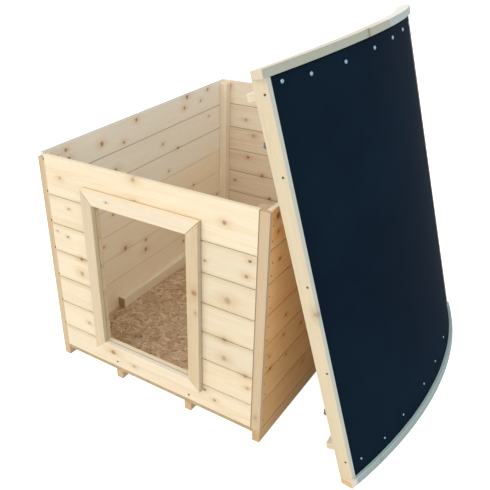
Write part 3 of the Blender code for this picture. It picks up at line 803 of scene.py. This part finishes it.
class KENNEL_OT_floor_sheet(Operator):
    """Finish the strand board floor, with overlapping layers of strands"""

    bl_idname = "kennel.floor_sheet"
    bl_label = "Strand board floor"

    LAYERS = 9
    STRAND_SCALE = 20.0
    HALF_LENGTHS = (0.011, 0.030)
    HALF_WIDTHS = (0.0032, 0.0080)
    LAYER_SHIFT = (0.37, 0.211)
    SPECK_SCALES = (105.0, 180.0, 90.0)
    RELIEF = (0.5, 0.0006)

    def add_strands(self, wire, point, layer):
        """One layer of separate strands, each at its own angle: its cover, tint and rim."""
        shift = [step * layer for step in self.LAYER_SHIFT]
        laid = wire.vector("ADD", point, (*shift, 0.0))
        values = {"Vector": laid, "Scale": self.STRAND_SCALE, "Randomness": 1.0}
        cells = wire.add("ShaderNodeTexVoronoi", values, voronoi_dimensions="2D").outputs
        turn, size, tint = wire.split(cells["Color"])
        away = wire.vector("SUBTRACT", laid, cells["Position"])
        values = {"Vector": away, "Angle": wire.times(turn, math.pi)}
        turned = wire.add("ShaderNodeVectorRotate", values, rotation_type="Z_AXIS").outputs[0]
        along, across, _ = wire.split(turned)
        half_length = wire.step(size, 0.0, 1.0, *self.HALF_LENGTHS)
        half_width = wire.step(tint, 0.0, 1.0, *self.HALF_WIDTHS)
        length = wire.math("DIVIDE", wire.math("ABSOLUTE", along), half_length)
        width = wire.math("DIVIDE", wire.math("ABSOLUTE", across), half_width)
        reach = wire.math("MAXIMUM", length, width)
        fine = wire.join(wire.times(along, 40.0), wire.times(across, 900.0), turn)
        grain = wire.noise(fine, 1.0, 2.0)
        shade = wire.times(wire.math("FRACT", wire.times(size, 7.0)), 0.85)
        tint = wire.plus(shade, wire.times(grain, 0.35))
        return wire.step(reach, 0.90, 1.0, 1.0, 0.0), tint, wire.step(reach, 0.70, 1.0, 1.0, 0.62)

    def execute(self, context):
        wood = context.scene.kennel_wood
        material, wire, surface = start_material("strand_board", 0.72)
        point = wire.add("ShaderNodeTexCoord").outputs["Object"]
        pale = (*wood.strand_pale, 1.0)
        dark = (*wood.strand_dark, 1.0)
        colour = wire.mix(wire.noise(point, 90.0, 3.0), dark, pale)
        height = 0.0
        for layer in range(self.LAYERS):
            shown, tint, rim = self.add_strands(wire, point, layer)
            strand = wire.tone(wire.mix(tint, dark, pale), rim)
            colour = wire.mix(shown, colour, strand)
            height = wire.blend_numbers(shown, height, wire.plus(rim, tint))
        speck_place = wire.vector("MULTIPLY", point, self.SPECK_SCALES)
        speck = wire.step(wire.noise(speck_place, 1.0, 2.0, 0.6), 0.60, 0.67)
        colour = wire.mix(wire.times(speck, 0.92), colour, (*wood.strand_speck, 1.0))
        facing = wire.split(wire.add("ShaderNodeTexCoord").outputs["Normal"])
        sawn = wire.step(wire.math("ABSOLUTE", facing[2]), 0.3, 0.6, 1.0, 0.0)
        colour = wire.mix(wire.times(sawn, 0.75), colour, (*wood.strand_edge, 1.0))
        wire.connect(surface.inputs["Base Color"], colour)
        wire.emboss(surface, height, *self.RELIEF)
        dress("floor_sheet", material)
        return {"FINISHED"}


def steel(name, colour, roughness, metallic=1.0):
    """Steel with faint blotches and a fine relief."""
    material, wire, surface = start_material(name, roughness)
    point = wire.add("ShaderNodeTexCoord").outputs["Object"]
    blotch = wire.noise(point, 420.0, 3.0)
    pale = (*toned(colour, 1.15), 1.0)
    dull = (*toned(colour, 0.72), 1.0)
    wire.connect(surface.inputs["Base Color"], wire.mix(blotch, dull, pale))
    uneven = wire.step(blotch, 0.2, 0.8, roughness - 0.08, roughness + 0.12)
    wire.connect(surface.inputs["Roughness"], uneven)
    surface.inputs["Metallic"].default_value = metallic
    wire.emboss(surface, wire.noise(point, 900.0, 2.0), 0.2, 0.0002)
    return material


def take_in(work, addition):
    """Adds a finished bmesh to another one, and frees it."""
    mesh = bpy.data.meshes.new("addition")
    addition.to_mesh(mesh)
    addition.free()
    work.from_mesh(mesh)
    bpy.data.meshes.remove(mesh)


def turned_to(out):
    """The turn that lays a head's axis along the way out of its face."""
    return Vector((0.0, 0.0, 1.0)).rotation_difference(out).to_matrix().to_4x4()


def add_head(work, place, out, radius, rise, sink=0.0004, dished=False, stretch=1.0):
    """A nail or screw head on a face: a low disc, narrower at its top, dished on a screw."""
    head = bmesh.new()
    bmesh.ops.create_cone(head, cap_ends=True, segments=HEAD_SEGMENTS, radius1=radius,
                          radius2=radius * HEAD_TOP_SHARE, depth=rise)
    bmesh.ops.translate(head, verts=head.verts, vec=(0.0, 0.0, rise / 2 - sink))
    if dished:
        top = max(head.faces, key=lambda face: face.calc_center_median().z)
        bmesh.ops.inset_region(head, faces=[top], thickness=radius * DISH_RIM_SHARE,
                               depth=-rise * DISH_DEPTH_SHARE)
    longer = Matrix.Diagonal((1.0, stretch, 1.0, 1.0))
    bmesh.ops.transform(head, matrix=Matrix.Translation(place) @ turned_to(out) @ longer, verts=head.verts)
    take_in(work, head)


class KENNEL_OT_wall_nails(Operator):
    """Add the nails and screws that hold the wall boards"""

    bl_idname = "kennel.wall_nails"
    bl_label = "Wall nails and screws"

    STRIP_X = 0.0202
    STRIP_NAIL_SHARE = 0.85
    STRIP_NAIL_STRETCH = 2.4
    SIDE_Y = 0.021
    STRIP_FACE = 0.0025
    BACK_INSET = 0.010
    WANDER = 0.004
    WANDER_STEP = 2.1
    RISE = 0.0009
    NAIL_COLOUR = (0.10, 0.085, 0.07)
    SCREW_COLOUR = (0.13, 0.11, 0.09)

    def execute(self, context):
        wood = context.scene.kennel_wood
        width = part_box("skid_right")[1].x - CORNER.x
        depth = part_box("back_board_1")[1].y - CORNER.y
        nails = bmesh.new()
        front, back = Vector((0, -1, 0)), Vector((0, 1, 0))
        left, right = Vector((-1, 0, 0)), Vector((1, 0, 0))
        # The strip's heads are stretched dark marks: nails, and partly a painted shade where each joint's
        # gap ends at the strip
        for level in STRIP_NAIL_LEVELS:
            add_head(nails, CORNER + Vector((self.STRIP_X, self.STRIP_FACE, level)), front,
                     wood.nail_radius * self.STRIP_NAIL_SHARE, self.RISE, stretch=self.STRIP_NAIL_STRETCH)
        for count, level in enumerate(SIDE_NAIL_LEVELS):
            shift = self.WANDER * math.sin(count * self.WANDER_STEP)
            for y in (self.SIDE_Y + shift, depth - self.SIDE_Y - self.BACK_INSET + shift):
                add_head(nails, CORNER + Vector((width, y, level)), right, wood.nail_radius, self.RISE)
                add_head(nails, CORNER + Vector((0.0, y, level)), left, wood.nail_radius, self.RISE)
            for x in (self.SIDE_Y + shift, width - self.SIDE_Y + shift):
                add_head(nails, CORNER + Vector((x, depth, level)), back, wood.nail_radius, self.RISE)
        nail_steel = steel("dull_nail_steel", self.NAIL_COLOUR, 0.5, 0.6)
        new_piece("wall_nails", nails, [nail_steel], "kennel", 40)
        screws = bmesh.new()
        for x, z in FRONT_SCREWS:
            place = CORNER + Vector((x, 0.0, z))
            add_head(screws, place, front, wood.screw_radius, self.RISE, dished=True)
        screw_steel = steel("dark_screw_steel", self.SCREW_COLOUR, 0.45, 0.7)
        new_piece("front_screws", screws, [screw_steel], "kennel", 40)
        return {"FINISHED"}


def roof_board(node, order, middle, colours, knots=(), contrast=1.0, tone=1.0, **more):
    return pine(node + "_pine", order, colours, middle, knots, contrast, True, tone, **more)


class KENNEL_OT_roof_timber(Operator):
    """Finish the roof's rails, ribs, cleats and sheathing, and join the arched end boards from lengths"""

    bl_idname = "kennel.roof_timber"
    bl_label = "Roof timber"

    JOINT_GAP = 0.0003
    EDGE = 0.0009
    ARCH_JOINTS = {"arch_board_upper": (0.478,), "arch_board_lower": (0.795,)}
    ARCH_TONES = (0.97, 1.09)
    EDGE_GRAIN_SHARE = 0.93
    # The far lengths' curved edges are painted lighter, the upper one bluer too: painted light
    UPPER_EDGE_TONES = ((1.0, 1.0, 1.0), (1.07, 1.16, 1.40))
    LOWER_EDGE_TONES = ((1.0, 1.0, 1.0), (1.10, 1.10, 1.10))
    NEAR_END_SHARES = (0.98, 0.91, 0.82)
    # The cleats are painted much paler than the rails: painted light on faces that sit in shade
    CLEAT_PAINTED_LIGHT_SHARES = (1.4, 1.45, 1.7)
    UPPER_EDGE_START = -0.03
    LOWER_EDGE_START = 0.0
    ARCH_MIDDLE = (0.45, 0.06, 0.0)
    NEAR_RAIL_MIDDLE = (0.5, 0.016, 0.01)
    FAR_RAIL_MIDDLE = (0.5, 0.016, 0.89)
    RIB_MIDDLE = (0.45, 0.05, 0.5)
    CLEAT_MIDDLE = (0.08, 0.0, 0.5)
    SHEATHING_MIDDLE = (0.5, 0.05, 0.45)
    WELD = 0.00001
    FLAT = 0.001

    def arch_length(self, source, low, high):
        """The part of an arched board between two places across the roof."""
        work = bmesh.new()
        work.from_mesh(source)
        bmesh.ops.remove_doubles(work, verts=work.verts, dist=self.WELD)
        bmesh.ops.dissolve_limit(work, angle_limit=self.FLAT, verts=work.verts, edges=work.edges)
        across = (ROOF_TURN.to_matrix() @ Vector(ACROSS)).normalized()
        for place, keep_above in ((low, True), (high, False)):
            if place is None:
                continue
            spot = ROOF_FRAME @ Vector((0.0, place, 0.0))
            whole = work.verts[:] + work.edges[:] + work.faces[:]
            cut = bmesh.ops.bisect_plane(work, geom=whole, plane_co=spot, plane_no=across,
                                         clear_inner=keep_above, clear_outer=not keep_above)
            rim = [e for e in cut["geom_cut"] if isinstance(e, bmesh.types.BMEdge)]
            bmesh.ops.holes_fill(work, edges=rim)
        return work

    def execute(self, context):
        wood = context.scene.kennel_wood
        rails, arches, inside = wood_pairs(wood, "rail", "arch", "wall")
        cleats = [toned(colour, *self.CLEAT_PAINTED_LIGHT_SHARES) for colour in rails]
        near_arches = [toned(colour, *self.NEAR_END_SHARES) for colour in arches]
        # Painted cool shade on each arched board's curved edge, and on the lower one's inner face
        edges = {
            "arch_board_upper": (ACROSS, wood.shaded_upper_edge, PLAIN_END, self.UPPER_EDGE_START,
                                 self.UPPER_EDGE_TONES),
            "arch_board_lower": (ACROSS_AND_THROUGH, wood.shaded_lower_edge, FOOT_END, self.LOWER_EDGE_START,
                                 self.LOWER_EDGE_TONES),
        }
        # The rails' uncovered edge takes its painted cool shade
        shaded_rail_edge = (ACROSS, wood.shaded_rail_edge, toned(wood.shaded_rail_edge, self.EDGE_GRAIN_SHARE))
        for node, joints in self.ARCH_JOINTS.items():
            marks = [None, *joints, None]
            towards, edge_colour, end, begin, tones = edges[node]
            whole = bmesh.new()
            finishes = []
            for count, (low, high) in enumerate(zip(marks, marks[1:])):
                low = None if low is None else low + self.JOINT_GAP
                high = None if high is None else high - self.JOINT_GAP
                piece = self.arch_length(NODES[node].data, low, high)
                for face in piece.faces:
                    face.material_index = count
                take_in(whole, piece)
                shade = toned(edge_colour, *tones[count])
                outside = [(towards, shade, toned(shade, self.EDGE_GRAIN_SHARE), begin)]
                if node == "arch_board_lower":
                    outside.append((THROUGH, wood.shaded_lower_inner, wood.shaded_lower_inner, begin))
                finishes.append(roof_board(
                    "%s_length_%d" % (node, count + 1), ACROSS_THE_ROOF, self.ARCH_MIDDLE,
                    arches if count else near_arches, ARCH_KNOTS[node], 0.7, self.ARCH_TONES[count],
                    end=end, outside=outside))
            piece = new_piece(node + "_lengths", whole, finishes, "roof", 25)
            edge = piece.modifiers.new("eased_edges", "BEVEL")
            edge.width = self.EDGE
            edge.segments = 2
            edge.limit_method = "ANGLE"
            edge.angle_limit = math.radians(30)
            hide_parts(node)
        dress("roof_rail_near", roof_board("near_rail", UP_THE_ROOF, self.NEAR_RAIL_MIDDLE, rails,
                                           RAIL_KNOTS, 0.45, outside=[shaded_rail_edge]))
        dress("roof_rail_far", roof_board("far_rail", UP_THE_ROOF, self.FAR_RAIL_MIDDLE, rails, (), 0.8,
                                          outside=[shaded_rail_edge]))
        for node in ("end_rib_lower", "end_rib_upper", "middle_rib"):
            dress(node, roof_board(node, ACROSS_THE_ROOF, self.RIB_MIDDLE, inside))
        for node in sorted(NODES):
            if node.startswith("locating_cleat"):
                dress(node, roof_board(node, ACROSS_THE_ROOF, self.CLEAT_MIDDLE, cleats, (), 1.0, 0.98))
        # The sheathing's uncovered top edge takes the same painted cool shade
        top = (THROUGH, wood.shaded_rail_edge, wood.shaded_rail_edge)
        dress("roof_sheathing", roof_board("sheathing", UP_THE_ROOF, self.SHEATHING_MIDDLE, inside, (),
                                           1.2, 0.95, outside=[top]))
        return {"FINISHED"}


# The covering's dimples round its nails, and how much its ripples and dimples count
DIMPLE_AREA = 0.0004
WAVE_SHARE = 0.5
DIMPLE_SHARE = 0.8


def covering_height(across, up, ripple):
    """How far the covering stands off its bed: ripples, drawn down at the nails."""
    wave = math.sin(across * 21.0 + 1.3 * math.sin(up * 7.0))
    wave *= math.sin(up * 9.0 + 0.8 * math.sin(across * 11.0))
    drawn = 0.0
    for u, w in UPPER_NAILS + LOWER_NAILS:
        drawn = max(drawn, math.exp(-((across - u) ** 2 + (up - w) ** 2) / DIMPLE_AREA))
    return ripple * (WAVE_SHARE * wave * (1.0 - drawn) - DIMPLE_SHARE * drawn)


class KENNEL_OT_roof_covering(Operator):
    """Lay the dark covering over the curve of the roof"""

    bl_idname = "kennel.roof_covering"
    bl_label = "Roof covering"

    STEPS_ACROSS = 120
    STEPS_UP = 110
    SPECULAR = 0.012
    RELIEF = (0.35, 0.0005)

    def execute(self, context):
        roof = context.scene.kennel_roof
        work = bmesh.new()
        bmesh.ops.create_grid(work, x_segments=self.STEPS_ACROSS, y_segments=self.STEPS_UP, size=0.5)
        wide = ROOF_CHORD - 2 * COVERING_EDGE
        tall = ROOF_LENGTH - 2 * COVERING_END
        for vertex in work.verts:
            across = COVERING_EDGE + (vertex.co.x + 0.5) * wide
            up = COVERING_END + (vertex.co.y + 0.5) * tall
            lift = covering_height(across, up, roof.ripple)
            spot = Vector((arc_height(across), across, up)) + arc_normal(across) * lift
            vertex.co = ROOF_FRAME @ spot
        outwards = ROOF_TURN.to_matrix() @ Vector((1.0, 0.0, 0.0))
        bmesh.ops.recalc_face_normals(work, faces=work.faces)
        if sum(face.normal.dot(outwards) for face in work.faces) < 0:
            bmesh.ops.reverse_faces(work, faces=work.faces)
        material, wire, surface = start_material("roof_sheet", 0.62)
        point = wire.add("ShaderNodeTexCoord").outputs["Object"]
        cloud = wire.noise(point, 3.4, 4.0, 0.6)
        speck = wire.noise(point, 900.0, 2.0, 0.6)
        base = wire.mix(wire.step(cloud, 0.35, 0.75), (*roof.covering, 1.0), (*roof.covering_dust, 1.0))
        colour = wire.tone(base, wire.step(speck, 0.3, 0.7, 0.86, 1.12))
        wire.connect(surface.inputs["Base Color"], colour)
        wire.connect(surface.inputs["Roughness"], wire.step(cloud, 0.2, 0.8, 0.66, 0.80))
        surface.inputs["Specular IOR Level"].default_value = self.SPECULAR
        wire.emboss(surface, wire.noise(point, 700.0, 3.0, 0.7), *self.RELIEF)
        piece = new_piece("covering_sheet", work, [material], "roof", 60)
        wall = piece.modifiers.new("thickness", "SOLIDIFY")
        wall.thickness = COVERING_THICKNESS
        wall.offset = -1.0
        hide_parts("roof_covering")
        return {"FINISHED"}


class KENNEL_OT_roof_fixings(Operator):
    """Add the domed roofing nails, the rail's screws and its two metal tabs"""

    bl_idname = "kennel.roof_fixings"
    bl_label = "Roof nails, screws and tabs"

    TAB_PLACES = (0.194, 0.841)
    TAB_THICKNESS = 0.0022
    TAB_ON_RAIL = 0.010
    TAB_GAP = 0.0002
    TAB_EDGE = 0.0004
    TAB_COLOUR = (0.17, 0.20, 0.18)
    PIVOT_DROP_SHARE = 0.55
    PIVOT_RADIUS = 0.0065
    PIVOT_RISE = 0.006
    NAIL_LIFT = 0.0004
    LOWER_NAIL_SHARE = 0.66
    NAIL_COLOUR = (0.27, 0.42, 0.56)
    SCREW_SHARE = 0.85
    SCREW_RISE = 0.0009
    SCREW_COLOUR = (0.16, 0.13, 0.10)

    def dome(self, work, place, out, radius, height):
        """A domed head: a flattened ball, half of it sunk in the covering."""
        squash = Matrix.Diagonal((1.0, 1.0, height / radius, 1.0))
        bmesh.ops.create_uvsphere(work, u_segments=20, v_segments=12, radius=radius,
                                  matrix=Matrix.Translation(place) @ turned_to(out) @ squash)

    def execute(self, context):
        roof = context.scene.kennel_roof
        wood = context.scene.kennel_wood
        turn = ROOF_TURN.to_matrix()
        nails = bmesh.new()
        for across, up in UPPER_NAILS + LOWER_NAILS + HIDDEN_NAILS:
            share = 1.0 if up > ROOF_LENGTH / 2 else self.LOWER_NAIL_SHARE
            place = ROOF_FRAME @ Vector((arc_height(across) + self.NAIL_LIFT, across, up))
            self.dome(nails, place, turn @ arc_normal(across), share * roof.nail_radius,
                      share * roof.nail_height)
        nail_steel = steel("bright_zinc", self.NAIL_COLOUR, 0.28)
        new_piece("roofing_nails", nails, [nail_steel], "roof", 60)
        screws = bmesh.new()
        for up, height in RAIL_SCREWS:
            for across, out in ((0.0, -1.0), (ROOF_CHORD, 1.0)):
                place = ROOF_FRAME @ Vector((height, across, up))
                add_head(screws, place, turn @ Vector((0.0, out, 0.0)),
                         wood.screw_radius * self.SCREW_SHARE, self.SCREW_RISE, dished=True)
        screw_steel = steel("rail_screw_steel", self.SCREW_COLOUR, 0.45, 0.7)
        new_piece("rail_screws", screws, [screw_steel], "roof", 40)
        tabs = bmesh.new()
        tab_depth = RAIL_THICKNESS + self.TAB_THICKNESS / 2 + self.TAB_GAP
        for up in self.TAB_PLACES:
            size = (roof.tab_drop + self.TAB_ON_RAIL, self.TAB_THICKNESS, roof.tab_width)
            middle = Vector(((self.TAB_ON_RAIL - roof.tab_drop) / 2, tab_depth, up))
            bmesh.ops.create_cube(tabs, size=1.0, matrix=ROOF_FRAME @ Matrix.Translation(middle)
                                  @ Matrix.Diagonal((*size, 1.0)))
            pivot = Vector((-roof.tab_drop * self.PIVOT_DROP_SHARE, RAIL_THICKNESS, up))
            add_head(tabs, ROOF_FRAME @ pivot, turn @ Vector((0.0, -1.0, 0.0)), self.PIVOT_RADIUS,
                     self.PIVOT_RISE, sink=0.0)
        bmesh.ops.bevel(tabs, geom=list(tabs.edges), offset=self.TAB_EDGE, offset_type="OFFSET", segments=1,
                        profile=0.5, affect="EDGES", material=-1)
        tab_steel = steel("tab_finish", self.TAB_COLOUR, 0.6, 0.2)
        new_piece("rail_tabs", tabs, [tab_steel], "roof", 40)
        return {"FINISHED"}


class KENNEL_OT_stage(Operator):
    """Set the plain floor, the soft light and the camera"""

    bl_idname = "kennel.stage"
    bl_label = "Floor, light and camera"

    CAMERA_PLACE = (1.2575, -1.0804, 1.2343)
    CAMERA_RIGHT = (0.812178, 0.582805, -0.026541)
    CAMERA_UP = (-0.271897, 0.418373, 0.866623)
    CAMERA_BACK = (0.516177, -0.696636, 0.498257)
    LENS = 46.548
    SENSOR = 36.0
    SHIFT = (0.1367, 0.0415)
    KEY_FROM = (-0.30, -0.56, 0.77)
    KEY_ANGLE = 50.0
    KEY_COLOUR = (1.0, 0.99, 0.965)
    SIDE_FROM = (0.62, -0.70, 0.30)
    SIDE_ANGLE = 60.0
    SIDE_COLOUR = (1.0, 0.96, 0.94)
    SKY_COLOUR = (0.90, 0.95, 1.0, 1.0)
    WHITE = (1.0, 1.0, 1.0, 1.0)
    FLOOR_GLOW = 0.85

    def make_floor(self, stage):
        work = bmesh.new()
        bmesh.ops.create_grid(work, x_segments=1, y_segments=1, size=stage.floor_half)
        mesh = bpy.data.meshes.new("studio_floor")
        work.to_mesh(mesh)
        work.free()
        floor = bpy.data.objects.new("studio_floor", mesh)
        bpy.context.scene.collection.objects.link(floor)
        material, wire, surface = start_material("studio_paper", 0.9)
        surface.inputs["Base Color"].default_value = (*stage.floor_colour, 1.0)
        surface.inputs["Specular IOR Level"].default_value = 0.0
        seen = wire.add("ShaderNodeLightPath").outputs["Is Camera Ray"]
        wire.connect(surface.inputs["Emission Strength"], wire.times(seen, self.FLOOR_GLOW))
        surface.inputs["Emission Color"].default_value = self.WHITE
        mesh.materials.append(material)

    def add_sun(self, context, name, strength, angle, colour, direction):
        lamp = bpy.data.lights.new(name, "SUN")
        lamp.energy = strength
        lamp.angle = math.radians(angle)
        lamp.color = colour
        sun = bpy.data.objects.new(name, lamp)
        sun.rotation_euler = Vector(direction).to_track_quat("Z", "Y").to_euler()
        context.scene.collection.objects.link(sun)

    def make_light(self, context, stage):
        self.add_sun(context, "key_light", stage.sun_strength, self.KEY_ANGLE, self.KEY_COLOUR,
                     self.KEY_FROM)
        self.add_sun(context, "side_light", stage.side_strength, self.SIDE_ANGLE, self.SIDE_COLOUR,
                     self.SIDE_FROM)
        world = bpy.data.worlds.new("studio_air")
        world.use_nodes = True
        wire = Wiring(world.node_tree)
        world.node_tree.nodes.clear()
        path = wire.add("ShaderNodeLightPath").outputs
        bounced = wire.math("MAXIMUM", path["Is Glossy Ray"], path["Is Transmission Ray"])
        seen = wire.math("MAXIMUM", path["Is Camera Ray"], bounced)
        values = {"Color": self.SKY_COLOUR, "Strength": stage.sky_strength}
        air = wire.add("ShaderNodeBackground", values)
        white = wire.add("ShaderNodeBackground", {"Color": self.WHITE, "Strength": 1.0})
        chosen = wire.add("ShaderNodeMixShader", {0: seen, 1: air.outputs[0], 2: white.outputs[0]})
        wire.add("ShaderNodeOutputWorld", {"Surface": chosen.outputs[0]})
        context.scene.world = world

    def make_camera(self, context):
        camera = bpy.data.cameras.new("studio_camera")
        camera.sensor_width = self.SENSOR
        camera.lens = self.LENS
        camera.shift_x, camera.shift_y = self.SHIFT
        camera.dof.use_dof = False
        holder = bpy.data.objects.new("studio_camera", camera)
        turn = Matrix((self.CAMERA_RIGHT, self.CAMERA_UP, self.CAMERA_BACK)).transposed().to_4x4()
        holder.matrix_world = Matrix.Translation(CORNER + Vector(self.CAMERA_PLACE)) @ turn
        context.scene.collection.objects.link(holder)
        context.scene.camera = holder

    def execute(self, context):
        stage = context.scene.kennel_stage
        self.make_floor(stage)
        self.make_light(context, stage)
        self.make_camera(context)
        context.scene.view_settings.view_transform = "Standard"
        return {"FINISHED"}


class KENNEL_PT_looks(Panel):
    """Lists the kennel's pieces and their settings"""

    bl_idname = "KENNEL_PT_looks"
    bl_label = "Wooden dog kennel"
    bl_space_type = "VIEW_3D"
    bl_region_type = "UI"
    bl_category = "Kennel"

    def draw(self, context):
        for group in (context.scene.kennel_wood, context.scene.kennel_roof, context.scene.kennel_stage):
            box = self.layout.box()
            for name in group.bl_rna.properties.keys():
                if name not in ("rna_type", "name"):
                    box.prop(group, name)
        for operator in OPERATORS:
            self.layout.operator(operator.bl_idname)


OPERATORS = (
    KENNEL_OT_wall_boards,
    KENNEL_OT_frame_timber,
    KENNEL_OT_floor_sheet,
    KENNEL_OT_wall_nails,
    KENNEL_OT_roof_timber,
    KENNEL_OT_roof_covering,
    KENNEL_OT_roof_fixings,
    KENNEL_OT_stage,
)
CLASSES = (KennelWoodSettings, KennelRoofSettings, KennelStageSettings, *OPERATORS, KENNEL_PT_looks)


def register():
    for item in CLASSES:
        bpy.utils.register_class(item)
    bpy.types.Scene.kennel_wood = PointerProperty(type=KennelWoodSettings)
    bpy.types.Scene.kennel_roof = PointerProperty(type=KennelRoofSettings)
    bpy.types.Scene.kennel_stage = PointerProperty(type=KennelStageSettings)


def unregister():
    del bpy.types.Scene.kennel_wood
    del bpy.types.Scene.kennel_roof
    del bpy.types.Scene.kennel_stage
    for item in reversed(CLASSES):
        bpy.utils.unregister_class(item)


def main():
    register()
    make_knot_group()
    make_pine_group()
    bpy.ops.kennel.wall_boards()
    bpy.ops.kennel.frame_timber()
    bpy.ops.kennel.floor_sheet()
    bpy.ops.kennel.wall_nails()
    bpy.ops.kennel.roof_timber()
    bpy.ops.kennel.roof_covering()
    bpy.ops.kennel.roof_fixings()
    bpy.ops.kennel.stage()


if __name__ == "__main__":
    main()
